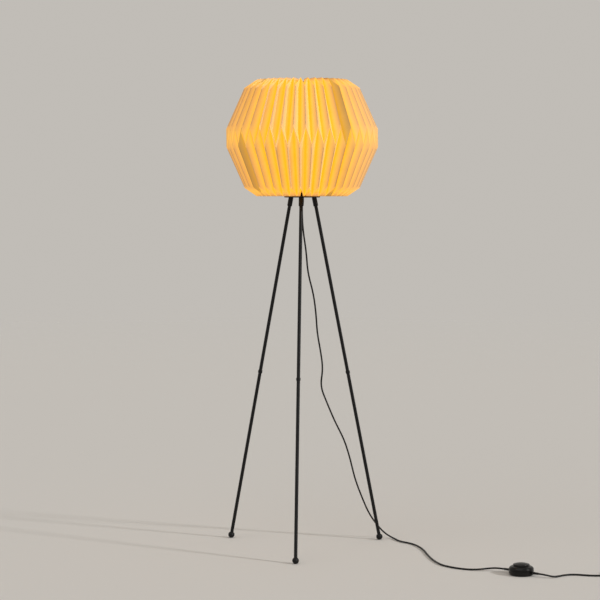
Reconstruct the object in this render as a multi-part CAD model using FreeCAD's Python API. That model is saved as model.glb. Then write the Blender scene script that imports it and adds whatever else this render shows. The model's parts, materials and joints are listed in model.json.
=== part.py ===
import FreeCAD, Part
import math
import os

# A floor lamp with a pleated paper shade on a three-legged metal stand.
# Millimetres, +Z up. The origin is on the floor under the middle of the shade,
# and the front leg points along -Y.

Vector = FreeCAD.Vector
UP = Vector(0, 0, 1)
TOUCH = 0.05            # play left round parts that only rest beside each other

# ---------------------------------------------------------------- driving dimensions
TOTAL_HEIGHT = 1500.0

# Plate that carries the shade, and the legs below it
PLATE_TOP = 1130.0
PLATE_THICKNESS = 4.0
PLATE_RADIUS = 57.0
LEG_DIRECTIONS = (-90.0, 30.0, 150.0)
LEG_TOP_RADIUS = 43.0   # leg axis to lamp axis, at the plate's underside
LEG_FOOT_RADIUS = 283.0  # leg axis to lamp axis, at the ball's centre
TUBE_RADIUS = 5.5
TUBE_WALL = 1.0
JOINT_HEIGHT = 559.0    # where the two halves of a leg screw together
SOCKET_RADIUS = 7.75
SOCKET_LENGTH = 28.0
COLLAR_RADIUS = 7.0
COLLAR_LENGTH = 9.0
STUD_LENGTH = 40.0
BALL_RADIUS = 10.5
BALL_FLAT = 0.3         # the ball is worn flat by this much where it stands

# Lamp holder, from the plate upwards
NIPPLE_RADIUS = 5.0
NIPPLE_BORE = 3.5
GLAND_RADIUS = 5.9
GLAND_LENGTH = 28.0
HOLDER_RADIUS = 19.5
HOLDER_CAP_HEIGHT = 12.0
HOLDER_HEIGHT = 52.0
HOLDER_WALL = 1.6
HOLDER_BORE = 13.3
NIPPLE_DROP = 14.0      # the nipple reaches this far below the plate
INSERT_RADIUS = 16.3
CONTACT_RADIUS = 2.0
INSERT_LOW = 16.0       # heights above the plate
BULB_SEAT = 24.0
SHOULDER_HEIGHT = 34.0
SHOULDER_RADIUS = 23.0
RING_RADIUS = 31.0
RING_THICKNESS = 2.0
NUT_RADIUS = 23.5
NUT_HEIGHT = 6.0
NUT_NOTCHES = 12
BULB_CAP_RADIUS = 13.2
BULB_CAP_LENGTH = 26.0
BULB_RADIUS = 30.0
BULB_LENGTH = 108.0

# Wire cage that carries the disc in the shade's top hole
WIRE_RADIUS = 1.5
WIRE_CIRCLE = 37.5
WIRE_FOOT_CIRCLE = 28.5
WIRE_DIRECTIONS = (90.0, 210.0, 330.0)
DISC_RADIUS = 44.0
DISC_THICKNESS = 3.0
DISC_DROP = 7.0         # disc's top face below the shade's top

# Pleated shade: the fold lines run from the top hole to the bottom hole
PLEATS = 40
FIRST_LINE = -87.75     # direction of fold line 0, on the front of the lamp
SHEETS = 4
FIRST_SEAM_LINE = 8     # fold line where sheet 1 starts
SHADE_RADIUS = 242.0    # at the belt
BELT_HALF = 28.6        # the belt's zigzag reaches this far above and below the middle
TIP_RADIUS = 145.0      # where the highest folds turn down
CORNER_RADIUS = 184.0   # where the folds between them turn down
CORNER_DROP = 26.4      # how much lower those turn
HOLE_RADIUS = 50.0
PAPER = 0.4
GLUE_GAP = 0.4          # between the two layers of a glued lap
GATHER_RADIUS = 54.0    # thread that holds the pleats at each hole
THREAD_RADIUS = 0.7

# Foot switch on the lead
SWITCH_X = 686.0
SWITCH_Y = -398.0
SWITCH_TURN = -34.0     # direction in which the lead leaves it
SWITCH_RADIUS = 37.5
SWITCH_SEAM = 15.0
SWITCH_SHOULDER = 27.5
SWITCH_HEIGHT = 37.0
SWITCH_WALL = 2.5
BUTTON_RADIUS = 25.0
BUTTON_TRAVEL = 3.0
BUTTON_PLAY = 0.3
LATCH_TOP = 12.0
LATCH_WELL = 5.0        # height of the well that guides the button's stem
BOSS_CIRCLE = 30.2      # screws that hold the two shells together
BOSS_RADIUS = 3.0
BOSS_FOOT = 5.0         # where the upper shell's bosses stand on the lower one's
SCREW_RADIUS = 1.2
RELIEF_LENGTH = 22.0
RELIEF_ROOT = 4.3
RELIEF_NECK = 3.7
LEAD_ENTRY_HEIGHT = 10.0

# Lead
LEAD_RADIUS = 2.7
LEAD_DIAMETER = 2 * LEAD_RADIUS
LEAD_START = PLATE_TOP - PLATE_THICKNESS - GLAND_LENGTH
LAMP_TO_SWITCH = [
    (0, 0, LEAD_START),
    (0, 0, 1062),
    (4, 1, 1012),
    (13, 7, 950),
    (17, 14, 885),
    (35, 22, 817),
    (43, 27, 752),
    (46, 36, 690),
    (57, 45, 628),
    (64, 52, 572),
    (55, 56, 515),
    (76, 64, 461),
    (101, 79, 398),
    (131, 99, 336),
    (150, 114, 270),
    (164, 127, 205),
    (187, 143, 140),
    (209, 156, 86),
    (235, 166, 46),
    (260, 171, 18),
    (284, 163, 4.5),
    (298, 139, 3),
    (307, 112, 3),
    (325, 88, 3),
    (353, 63, 3),
    (376, 16, 3),
    (393, -47, 3),
    (403, -112, 3),
    (415, -177, 3),
    (431, -237, 3),
    (450, -285, 3),
    (481, -319, 3),
    (524, -346, 3),
    (562, -351, 4.5),
    (594, -346, 8),
    (618.4, -352.4, 10),
]
SWITCH_TO_COIL = [
    (754, -443.9, 10),
    (777, -442, 4),
    (796, -427, 3),
    (813, -409, 3),
    (837, -398, 3),
    (865, -403, 3),
    (897, -412, 3),
    (929, -408, 3.2),
    (957, -410, 3.4),
]

# Put-away coil of the lead, with its tie, and the plug
COIL_X = 979.0
COIL_Y = -371.0
COIL_TURN = -86.0       # direction from the coil's centre to where the lead comes in
COIL_RADIUS = 39.0      # outermost turn
COIL_PITCH = 6.9        # from turn to turn
COIL_LAYER = 6.8        # from layer to layer
COIL_IN = 5             # half turns of the lower layer
COIL_OUT = 4            # half turns of the upper layer
TIE_THICKNESS = 0.6
TIE_WIDTH = 8.0
COIL_HEIGHT = LEAD_RADIUS + TIE_THICKNESS + 0.1
COIL_TAIL = 28.0        # straight end that leads over the turns to the plug
PLUG_LENGTH = 34.0
PLUG_WIDTH = 35.0
PLUG_RELIEF = 26.0
PIN_RADIUS = 2.0
PIN_LENGTH = 19.0
PIN_SPACING = 18.6

# ---------------------------------------------------------------- derived values
PLATE_BOTTOM = PLATE_TOP - PLATE_THICKNESS
BALL_CENTRE = BALL_RADIUS - BALL_FLAT
SHADE_MIDDLE = (TOTAL_HEIGHT + PLATE_TOP) / 2
SHADE_HALF = (TOTAL_HEIGHT - PLATE_TOP) / 2
LINE_PITCH = 180.0 / PLEATS
PANELS_PER_SHEET = 2 * PLEATS // SHEETS
DISC_TOP = TOTAL_HEIGHT - DISC_DROP
LEVELS = range(5)       # corners of a fold line, from the top hole to the bottom one


# ---------------------------------------------------------------- helpers
def revolved(outline):
    """Turn a closed outline round the Z axis.

    Each entry is (r, z) for a straight line to that point, or
    (r_mid, z_mid, r, z) for an arc through a middle point.
    """
    edges = []
    here = Vector(outline[0][0], 0, outline[0][1])
    for entry in outline[1:] + [outline[0]]:
        there = Vector(entry[-2], 0, entry[-1])
        if len(entry) == 4:
            edges.append(Part.Arc(here, Vector(entry[0], 0, entry[1]), there).toShape())
        else:
            edges.append(Part.LineSegment(here, there).toShape())
        here = there
    face = Part.Face(Part.Wire(edges))
    return face.revolve(Vector(), UP, 360)


def cap_middle(rim, low, top):
    """A point halfway up a spherical cap, given its rim's radius and its two heights."""
    rise = top - low
    radius = (rim ** 2 + rise ** 2) / (2 * rise)
    return (rim / 2, top - radius + math.sqrt(radius ** 2 - rim ** 2 / 4))


def cylinder(radius, low, high):
    return Part.makeCylinder(radius, high - low, Vector(0, 0, low))


def ring(outer, inner, low, high):
    return cylinder(outer, low, high).cut(cylinder(inner, low - 1, high + 1))


def turned_to(shape, angle):
    """A copy of the shape, rotated round the lamp's axis."""
    copy = shape.copy()
    copy.rotate(Vector(), UP, angle)
    return copy


def placed(shape, x, y, angle):
    copy = turned_to(shape, angle)
    copy.translate(Vector(x, y, 0))
    return copy


def save(name, shape):
    if not shape.isValid():
        raise RuntimeError(name + " is not a valid solid")
    shape.exportStep(os.path.join("parts", name + ".step"))
    print(name, len(shape.Solids), round(shape.Volume), "mm3")


# ---------------------------------------------------------------- tubes along a path
def soft_path(points, name):
    """Straight runs joined by the largest tangent arcs that the runs allow."""
    points = [Vector(*p) for p in points]
    edges = []
    radii = []
    here = points[0]
    for before, corner, after in zip(points, points[1:], points[2:]):
        into = corner - before
        out = after - corner
        trim = 0.45 * min(into.Length, out.Length)
        half_turn = into.getAngle(out) / 2
        into.normalize()
        out.normalize()
        radius = trim / math.tan(half_turn)
        inward = (out - into).normalize()
        start = corner - into * trim
        end = corner + out * trim
        middle = corner + inward * (radius / math.cos(half_turn) - radius)
        edges.append(Part.LineSegment(here, start).toShape())
        edges.append(Part.Arc(start, middle, end).toShape())
        radii.append(round(radius))
        here = end
    edges.append(Part.LineSegment(here, points[-1]).toShape())
    print(name, "bend radii", radii)
    return Part.Wire(edges)


def tube(path, radius):
    """A round bar along a wire, with a check of its volume."""
    first = path.OrderedEdges[0]
    start = first.firstVertex(True).Point
    axis = first.tangentAt(first.FirstParameter)
    if (first.valueAt(first.FirstParameter) - start).Length > 1e-6:
        axis = first.tangentAt(first.LastParameter) * -1
    profile = Part.Wire(Part.makeCircle(radius, start, axis))
    solid = path.makePipeShell([profile], True, False)
    solid = Part.Solid(solid.Shells[0])
    expected = math.pi * radius ** 2 * path.Length
    print("  length", round(path.Length, 1), "volume ratio", round(solid.Volume / expected, 4))
    return solid


def arc_from(start, tangent, end):
    """The arc that leaves start along tangent and reaches end."""
    chord = end - start
    half = tangent.getAngle(chord)
    along = Vector(chord).normalize()
    bulge = (tangent - along * tangent.dot(along)).normalize()
    middle = start + chord * 0.5 + bulge * (chord.Length / 2 * math.tan(half / 2))
    return Part.Arc(start, middle, end).toShape()


def half_turn(start, tangent, end):
    """Two quarter turns from start to end, which is left against the first direction."""
    reach = (end - start).Length / 2
    crest = (start + end + tangent * (2 * reach)) * 0.5
    rise = (end - start).normalize()
    return [arc_from(start, tangent, crest), arc_from(crest, rise, end)]


def least_self_gap(path, diameter, skip):
    """Smallest distance between stretches of the tube that aren't neighbours."""
    step = 2.0
    points = path.discretize(int(path.Length / step))
    apart = int(skip / step)
    gap = min(
        (points[i] - points[j]).Length
        for i in range(len(points))
        for j in range(i + apart, len(points))
    )
    return gap - diameter


# ---------------------------------------------------------------- stand
def on_leg(shape):
    """Stand a shape, built upwards from the ball's centre, on the leg that points along +X."""
    copy = shape.copy()
    foot = Vector(LEG_FOOT_RADIUS, 0, BALL_CENTRE)
    top = Vector(LEG_TOP_RADIUS, 0, PLATE_BOTTOM)
    copy.Placement = FreeCAD.Placement(foot, FreeCAD.Rotation(UP, top - foot))
    return copy


def leg_length():
    return math.hypot(LEG_FOOT_RADIUS - LEG_TOP_RADIUS, PLATE_BOTTOM - BALL_CENTRE)


def leg_joint():
    """Distance from the ball's centre to the joint, along the leg."""
    return leg_length() * (JOINT_HEIGHT - BALL_CENTRE) / (PLATE_BOTTOM - BALL_CENTRE)


def floor_block(top):
    return Part.makeBox(1000, 1000, 100, Vector(-500, -500, top - 100))


def ball_foot():
    ball = Part.makeSphere(BALL_RADIUS)
    ball = ball.cut(cylinder(TUBE_RADIUS, 4, BALL_RADIUS + 5))
    return on_leg(ball).cut(floor_block(0))


def lower_tube():
    return on_leg(ring(TUBE_RADIUS, TUBE_RADIUS - TUBE_WALL, 4, leg_joint()))


def upper_tube():
    end = leg_length() - 4
    return on_leg(ring(TUBE_RADIUS, TUBE_RADIUS - TUBE_WALL, leg_joint(), end))


def joint_stud():
    reach = STUD_LENGTH / 2
    chamfer = 1.0
    radius = TUBE_RADIUS - TUBE_WALL
    low = leg_joint() - reach
    high = leg_joint() + reach
    outline = [
        (0, low), (radius - chamfer, low), (radius, low + chamfer),
        (radius, high - chamfer), (radius - chamfer, high), (0, high),
    ]
    return on_leg(revolved(outline))


def joint_collar():
    low = leg_joint() - COLLAR_LENGTH / 2
    high = low + COLLAR_LENGTH
    bevel = 0.8
    outline = [
        (TUBE_RADIUS, low), (COLLAR_RADIUS - bevel, low), (COLLAR_RADIUS, low + bevel),
        (COLLAR_RADIUS, high - bevel), (COLLAR_RADIUS - bevel, high), (TUBE_RADIUS, high),
    ]
    return on_leg(revolved(outline))


def leg_socket():
    """Tapped sleeve under the plate: bored for the tube, cut off along the plate."""
    length = leg_length()
    low = length - SOCKET_LENGTH
    bevel = 0.8
    outline = [
        (TUBE_RADIUS, low), (SOCKET_RADIUS - bevel, low), (SOCKET_RADIUS, low + bevel),
        (SOCKET_RADIUS, length + 5), (0, length + 5), (0, length - 4), (TUBE_RADIUS, length - 4),
    ]
    above_plate = Part.makeBox(200, 200, 50, Vector(-50, -100, PLATE_BOTTOM))
    return on_leg(revolved(outline)).cut(above_plate)


def base_plate():
    rim = 1.2
    hole = NIPPLE_RADIUS + TOUCH
    outline = [
        (hole, PLATE_BOTTOM), (PLATE_RADIUS - rim, PLATE_BOTTOM),
        (PLATE_RADIUS - 0.35, PLATE_BOTTOM + 0.35, PLATE_RADIUS, PLATE_BOTTOM + rim),
        (PLATE_RADIUS, PLATE_TOP - rim),
        (PLATE_RADIUS - 0.35, PLATE_TOP - 0.35, PLATE_RADIUS - rim, PLATE_TOP),
        (hole, PLATE_TOP),
    ]
    return revolved(outline)


def make_stand():
    save("base_plate", base_plate())
    pieces = {
        "leg_socket": leg_socket(),
        "upper_leg": upper_tube(),
        "leg_stud": joint_stud(),
        "leg_collar": joint_collar(),
        "lower_leg": lower_tube(),
        "ball_foot": ball_foot(),
    }
    for number, direction in enumerate(LEG_DIRECTIONS, start=1):
        for name, shape in pieces.items():
            save(name + "_" + str(number), turned_to(shape, direction))


# ---------------------------------------------------------------- lamp holder and cage
def lead_gland():
    """Tapered cord grip, screwed up the nipple against the plate."""
    low = LEAD_START
    thread_end = PLATE_BOTTOM - NIPPLE_DROP
    nose = LEAD_RADIUS + 1.2
    outline = [
        (LEAD_RADIUS, low), (nose, low), (nose + 0.9, low + 2.2, nose + 1.3, low + 6),
        (GLAND_RADIUS, low + 14), (GLAND_RADIUS, PLATE_BOTTOM), (NIPPLE_RADIUS, PLATE_BOTTOM),
        (NIPPLE_RADIUS, thread_end), (LEAD_RADIUS, thread_end),
    ]
    return revolved(outline)


def hexagon(across_flats, low, high):
    corner = across_flats / math.sqrt(3)
    points = [Vector(corner, 0, low)]
    points += [turned_to(Part.Vertex(points[0]), 60 * i).Point for i in range(1, 6)]
    outline = Part.makePolygon(points + points[:1])
    return Part.Face(outline).extrude(Vector(0, 0, high - low))


def nipple_nut():
    low = PLATE_TOP + 2
    return hexagon(14, low, low + 3).cut(cylinder(NIPPLE_RADIUS, low - 1, low + 4))


def holder_cap():
    floor = 2.0
    low = PLATE_TOP
    high = PLATE_TOP + HOLDER_CAP_HEIGHT
    inside = HOLDER_RADIUS - HOLDER_WALL
    corner = 2.5
    outline = [
        (NIPPLE_RADIUS + TOUCH, low), (HOLDER_RADIUS - corner, low),
        (HOLDER_RADIUS - 0.7, low + 0.7, HOLDER_RADIUS, low + corner),
        (HOLDER_RADIUS, high), (inside, high), (inside, low + floor),
        (NIPPLE_RADIUS + TOUCH, low + floor),
    ]
    return revolved(outline)


def holder_sleeve():
    """Sleeve with a shoulder for the cage, open for the bulb and for the insert below it."""
    spigot = HOLDER_RADIUS - HOLDER_WALL - TOUCH
    low = PLATE_TOP + HOLDER_CAP_HEIGHT
    foot = low - 5
    high = PLATE_TOP + HOLDER_HEIGHT
    seat = PLATE_TOP + BULB_SEAT
    shoulder = PLATE_TOP + SHOULDER_HEIGHT
    lip = 1.2
    outline = [
        (INSERT_RADIUS, foot), (spigot, foot), (spigot, low), (HOLDER_RADIUS, low),
        (HOLDER_RADIUS, shoulder - 4), (SHOULDER_RADIUS, shoulder - 2.5),
        (SHOULDER_RADIUS, shoulder), (HOLDER_RADIUS, shoulder), (HOLDER_RADIUS, high - lip),
        (HOLDER_RADIUS - 0.35, high - 0.35, HOLDER_RADIUS - lip, high),
        (HOLDER_BORE, high), (HOLDER_BORE, seat), (INSERT_RADIUS, seat),
    ]
    return revolved(outline)


def holder_insert():
    """Ceramic disc with the bulb's seat."""
    low = PLATE_TOP + INSERT_LOW
    seat = PLATE_TOP + BULB_SEAT
    rim = INSERT_RADIUS - TOUCH
    well = 3 * CONTACT_RADIUS
    outline = [
        (CONTACT_RADIUS, low), (rim, low), (rim, seat),
        (well, seat), (well, seat - 2), (CONTACT_RADIUS, seat - 2),
    ]
    return revolved(outline)


def holder_contact():
    return cylinder(CONTACT_RADIUS, PLATE_TOP + INSERT_LOW - 2, PLATE_TOP + BULB_SEAT + 0.5)


def cage_ring():
    low = PLATE_TOP + SHOULDER_HEIGHT
    return ring(RING_RADIUS, HOLDER_RADIUS + TOUCH, low, low + RING_THICKNESS)


def ring_nut():
    low = PLATE_TOP + SHOULDER_HEIGHT + RING_THICKNESS
    bevel = 0.8
    bore = HOLDER_RADIUS + TOUCH
    high = low + NUT_HEIGHT
    outline = [
        (bore, low), (NUT_RADIUS, low), (NUT_RADIUS, high - bevel),
        (NUT_RADIUS - bevel, high), (bore, high),
    ]
    knob = revolved(outline)
    width = 2.2
    corner = Vector(NUT_RADIUS - 1.2, -width / 2, low - 1)
    notch = Part.makeBox(3, width, NUT_HEIGHT + 2, corner)
    for step in range(NUT_NOTCHES):
        knob = knob.cut(turned_to(notch, 360 / NUT_NOTCHES * step))
    return knob


def cage_wire():
    foot = PLATE_TOP + SHOULDER_HEIGHT + RING_THICKNESS
    path = soft_path(
        [
            (WIRE_FOOT_CIRCLE, 0, foot),
            (WIRE_FOOT_CIRCLE, 0, foot + 12),
            (WIRE_CIRCLE, 0, foot + 30),
            (WIRE_CIRCLE, 0, DISC_TOP - DISC_THICKNESS),
        ],
        "cage wire",
    )
    return tube(path, WIRE_RADIUS)


def top_disc():
    low = DISC_TOP - DISC_THICKNESS
    rim = 1.0
    outline = [
        (0, low), (DISC_RADIUS - rim, low),
        (DISC_RADIUS - 0.3, low + 0.3, DISC_RADIUS, low + rim),
        (DISC_RADIUS, DISC_TOP - rim),
        (DISC_RADIUS - 0.3, DISC_TOP - 0.3, DISC_RADIUS - rim, DISC_TOP), (0, DISC_TOP),
    ]
    return revolved(outline)


def make_holder():
    save("lead_gland", lead_gland())
    nipple_low = PLATE_BOTTOM - NIPPLE_DROP
    save("threaded_nipple", ring(NIPPLE_RADIUS, NIPPLE_BORE, nipple_low, PLATE_TOP + 9))
    save("inner_lead", cylinder(LEAD_RADIUS, LEAD_START, PLATE_TOP + INSERT_LOW - 2))
    save("nipple_nut", nipple_nut())
    save("holder_cap", holder_cap())
    save("holder_sleeve", holder_sleeve())
    save("holder_insert", holder_insert())
    save("holder_contact", holder_contact())
    save("cage_ring", cage_ring())
    save("cage_ring_nut", ring_nut())
    wire = cage_wire()
    for number, direction in enumerate(WIRE_DIRECTIONS, start=1):
        save("cage_wire_" + str(number), turned_to(wire, direction))
    save("top_disc", top_disc())


# ---------------------------------------------------------------- bulb
def make_bulb():
    tip = PLATE_TOP + BULB_SEAT + 0.6
    rim = tip + BULB_CAP_LENGTH
    neck = 12.6
    top = tip + BULB_LENGTH
    centre = top - BULB_RADIUS
    globe_start = 8.0
    shoulder = math.sqrt(BULB_RADIUS ** 2 - globe_start ** 2)
    diagonal = BULB_RADIUS * math.sqrt(0.5)
    outline = [
        (0, rim), (neck, rim), (neck, rim + 3),
        (18.5, centre - globe_start - 24, shoulder, centre - globe_start),
        (diagonal, centre + diagonal, 0, top),
    ]
    save("bulb_glass", revolved(outline))
    hole = 4.0
    cap = [
        (hole, tip + 1.5), (9, tip + 3), (BULB_CAP_RADIUS, tip + 6),
        (BULB_CAP_RADIUS, rim), (hole, rim),
    ]
    save("bulb_cap", revolved(cap))
    contact = [(0, tip), (3, tip), (hole, tip + 1.5), (hole, tip + 4), (0, tip + 4)]
    save("bulb_contact", revolved(contact))


# ---------------------------------------------------------------- pleated shade
def fold_profile(line):
    """The five corners of a fold line, as (radius, height above the shade's middle).

    Even lines turn down at the tips and odd ones at the corners, and each kind is
    the other one upside down. So a ridge becomes a valley wherever the zigzag of
    corners, belt and lower corners crosses it.
    """
    corner = SHADE_HALF - CORNER_DROP
    odd = [
        (HOLE_RADIUS, corner),
        (CORNER_RADIUS, corner),
        (SHADE_RADIUS, BELT_HALF),
        (TIP_RADIUS, -SHADE_HALF),
        (HOLE_RADIUS, -SHADE_HALF),
    ]
    if line % 2:
        return odd
    return [(radius, -height) for radius, height in reversed(odd)]


def fold_corner(line, level):
    radius, height = fold_profile(line)[level]
    angle = math.radians(FIRST_LINE + line * LINE_PITCH)
    x = radius * math.cos(angle)
    y = radius * math.sin(angle)
    return Vector(x, y, SHADE_MIDDLE + height)


def facets(corners):
    """Triangles of one panel row: the same diagonal everywhere, facing outwards."""
    (a, b), (c, d) = corners
    return [(a, b, c), (b, d, c)]


def facet_normal(triangle):
    a, b, c = triangle
    return (b - a).cross(c - a).normalize()


def paper_depth(line, level):
    """How far one unit of paper reaches inwards at a corner, across the folds that meet there."""
    normals = []
    for left in (line - 1, line):
        for upper in (level - 1, level):
            if 0 <= upper < LEVELS[-1]:
                sides = [(fold_corner(i, upper), fold_corner(i, upper + 1)) for i in (left, left + 1)]
                normals += [facet_normal(t) for t in facets(sides)]
    total = Vector()
    rows = FreeCAD.Matrix(0.001, 0, 0, 0, 0, 0.001, 0, 0, 0, 0, 0.001, 0, 0, 0, 0, 1)
    for n in normals:
        total += n
        rows.A11 += n.x * n.x
        rows.A12 += n.x * n.y
        rows.A13 += n.x * n.z
        rows.A22 += n.y * n.y
        rows.A23 += n.y * n.z
        rows.A33 += n.z * n.z
    rows.A21 = rows.A12
    rows.A31 = rows.A13
    rows.A32 = rows.A23
    return rows.inverse().multVec(total) * -1


def sheet_columns(first):
    """Outer and inner corners of a sheet, column by column, with the lap under its neighbour."""
    lap = PAPER + GLUE_GAP
    last = first + PANELS_PER_SHEET
    columns = []
    for line in range(first, last + 2):
        sunk = lap if line >= last else 0.0
        outer = []
        inner = []
        for level in LEVELS:
            corner = fold_corner(line, level)
            depth = paper_depth(line, level)
            outer.append(corner + depth * sunk)
            inner.append(corner + depth * (sunk + PAPER))
        columns.append((outer, inner))
    return columns


def shade_sheet(first):
    """One folded sheet of paper as a closed solid of flat facets."""
    columns = sheet_columns(first)
    triangles = []
    for (outer, inner), (next_outer, next_inner) in zip(columns, columns[1:]):
        for level in LEVELS[:-1]:
            strip = slice(level, level + 2)
            triangles += facets([outer[strip], next_outer[strip]])
            triangles += [t[::-1] for t in facets([inner[strip], next_inner[strip]])]
        for level in (LEVELS[0], LEVELS[-1]):
            edge = facets([(outer[level], inner[level]), (next_outer[level], next_inner[level])])
            triangles += edge if level else [t[::-1] for t in edge]
    for outer, inner in (columns[0], columns[-1]):
        for level in LEVELS[:-1]:
            triangles += facets([outer[level:level + 2], inner[level:level + 2]])
    faces = [Part.Face(Part.makePolygon([a, b, c, a])) for a, b, c in triangles]
    shell = Part.makeShell(faces)
    shell.sewShape()
    solid = Part.Solid(shell)
    if solid.Volume < 0:
        solid.reverse()
    return solid


def gather_thread(height):
    return Part.makeTorus(GATHER_RADIUS, THREAD_RADIUS, Vector(0, 0, height))


def make_shade():
    for number in range(SHEETS):
        first = FIRST_SEAM_LINE + number * PANELS_PER_SHEET
        save("shade_sheet_" + str(number + 1), shade_sheet(first))
    middle_of_pleats = SHADE_HALF - CORNER_DROP / 2
    save("shade_thread_top", gather_thread(SHADE_MIDDLE + middle_of_pleats))
    save("shade_thread_bottom", gather_thread(SHADE_MIDDLE - middle_of_pleats))


# ---------------------------------------------------------------- foot switch
def at_switch(shape):
    return placed(shape, SWITCH_X, SWITCH_Y, SWITCH_TURN)


def lead_ways(radius):
    """Bar through both lead entries of the switch, along its own X axis."""
    reach = SWITCH_RADIUS + 5
    start = Vector(-reach, 0, LEAD_ENTRY_HEIGHT)
    return Part.makeCylinder(radius, 2 * reach, start, Vector(1, 0, 0))


def screw_places():
    angles = [math.radians(a) for a in (90, 210, 330)]
    return [Vector(BOSS_CIRCLE * math.cos(a), BOSS_CIRCLE * math.sin(a), 0) for a in angles]


def switch_base():
    """Lower shell, with rounded foot, screw bosses and the lower half of the entries."""
    wall = SWITCH_WALL
    seam = SWITCH_SEAM
    foot = SWITCH_RADIUS - 4.5
    outline = [
        (0, 0), (foot, 0), (SWITCH_RADIUS - 1.1, 3.2, SWITCH_RADIUS, 9),
        (SWITCH_RADIUS, seam - 0.8), (SWITCH_RADIUS - 0.8, seam),
        (SWITCH_RADIUS - wall, seam), (SWITCH_RADIUS - wall, 9),
        (SWITCH_RADIUS - wall - 1, 4.4, foot - wall, wall), (0, wall),
    ]
    shell = revolved(outline).cut(lead_ways(RELIEF_NECK))
    for place in screw_places():
        pad = cylinder(BOSS_RADIUS, wall / 2, BOSS_FOOT)
        hole = cylinder(SCREW_RADIUS + 0.3, -1, BOSS_FOOT + 1).fuse(cylinder(2.7, -1, 1.4))
        pad.translate(place)
        hole.translate(place)
        shell = shell.fuse(pad).cut(hole)
    return shell


def switch_cover():
    """Upper shell: domed shoulder, opening for the button and bosses for the screws."""
    wall = SWITCH_WALL
    seam = SWITCH_SEAM
    top = SWITCH_SHOULDER
    opening = BUTTON_RADIUS + BUTTON_PLAY
    outline = [
        (SWITCH_RADIUS - wall, seam), (SWITCH_RADIUS - 0.8, seam), (SWITCH_RADIUS, seam + 0.8),
        (SWITCH_RADIUS - 1.6, top - 4.8, opening + 4, top - 0.6), (opening + 2, top),
        (opening, top), (opening, top - 3.0), (opening + 3, top - 3.2),
        (SWITCH_RADIUS - wall - 1.6, top - 6.4, SWITCH_RADIUS - wall, seam + 2),
    ]
    shell = revolved(outline)
    for place in screw_places():
        boss = cylinder(BOSS_RADIUS, BOSS_FOOT, top - 4.5)
        boss = boss.cut(cylinder(SCREW_RADIUS, 0, BOSS_FOOT + 8))
        boss.translate(place)
        shell = shell.fuse(boss)
    return shell


def switch_screws():
    screws = []
    for place in screw_places():
        screw = cylinder(2.4, 0.5, 1.4).fuse(cylinder(SCREW_RADIUS, 1.4, BOSS_FOOT + 6))
        screw.translate(place)
        screws.append(screw)
    return Part.makeCompound(screws)


def switch_button():
    """Domed press cap with a skirt, a retaining lip and a stem on the latch block."""
    rest = SWITCH_SHOULDER
    rim = BUTTON_RADIUS - 2.5
    skirt = rest - 7.5
    crown = rest + 5.6
    outline = [
        (0, skirt + 3.5), (BUTTON_RADIUS - 2, skirt + 3.5), (BUTTON_RADIUS - 2, skirt),
        (BUTTON_RADIUS + 1.6, skirt), (BUTTON_RADIUS + 1.6, rest - 3.4),
        (BUTTON_RADIUS, rest - 3.4), (BUTTON_RADIUS, rest + 3.2),
        (BUTTON_RADIUS - 0.5, rest + 4.7, rim, crown),
        cap_middle(rim, crown, SWITCH_HEIGHT) + (0, SWITCH_HEIGHT),
    ]
    stem = cylinder(4, LATCH_TOP + BUTTON_TRAVEL + 0.2, skirt + 4)
    return revolved(outline).fuse(stem)


def latch_block():
    """Closed push-push switch: body with a sprung plunger well, under the button's stem."""
    body = Part.makeBox(22, 18, LATCH_TOP - SWITCH_WALL, Vector(-11, -9, SWITCH_WALL))
    return body.fuse(ring(6.5, 4.3, LATCH_TOP, LATCH_TOP + LATCH_WELL))


def lead_relief():
    """Tapered sleeve with a neck in the switch's wall, along +X."""
    neck = RELIEF_NECK
    wall = SWITCH_RADIUS + 0.35
    inside = SWITCH_RADIUS - SWITCH_WALL - 1.2
    end = SWITCH_RADIUS + RELIEF_LENGTH
    tip = LEAD_RADIUS + 0.7
    outline = [
        (0, inside), (neck, inside), (neck, wall), (RELIEF_ROOT, wall), (RELIEF_ROOT, wall + 2),
        (neck, wall + 9), (tip, end - 0.6), (tip - 0.6, end), (0, end),
    ]
    sleeve = revolved(outline)
    sleeve.rotate(Vector(), Vector(0, 1, 0), 90)
    sleeve.translate(Vector(0, 0, LEAD_ENTRY_HEIGHT))
    return sleeve


def make_switch():
    save("switch_base", at_switch(switch_base()))
    save("switch_cover", at_switch(switch_cover()))
    save("switch_screws", at_switch(switch_screws()))
    save("switch_button", at_switch(switch_button()))
    save("switch_latch", at_switch(latch_block()))
    save("switch_relief_out", at_switch(lead_relief()))
    save("switch_relief_in", at_switch(turned_to(lead_relief(), 180)))


# ---------------------------------------------------------------- lead, coil and plug
def relief_end(side):
    """Where the lead meets the switch's sleeve: side is 1 at the outlet and -1 at the inlet."""
    reach = side * (SWITCH_RADIUS + RELIEF_LENGTH)
    angle = math.radians(SWITCH_TURN)
    x = SWITCH_X + reach * math.cos(angle)
    y = SWITCH_Y + reach * math.sin(angle)
    return (x, y, LEAD_ENTRY_HEIGHT)


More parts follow.
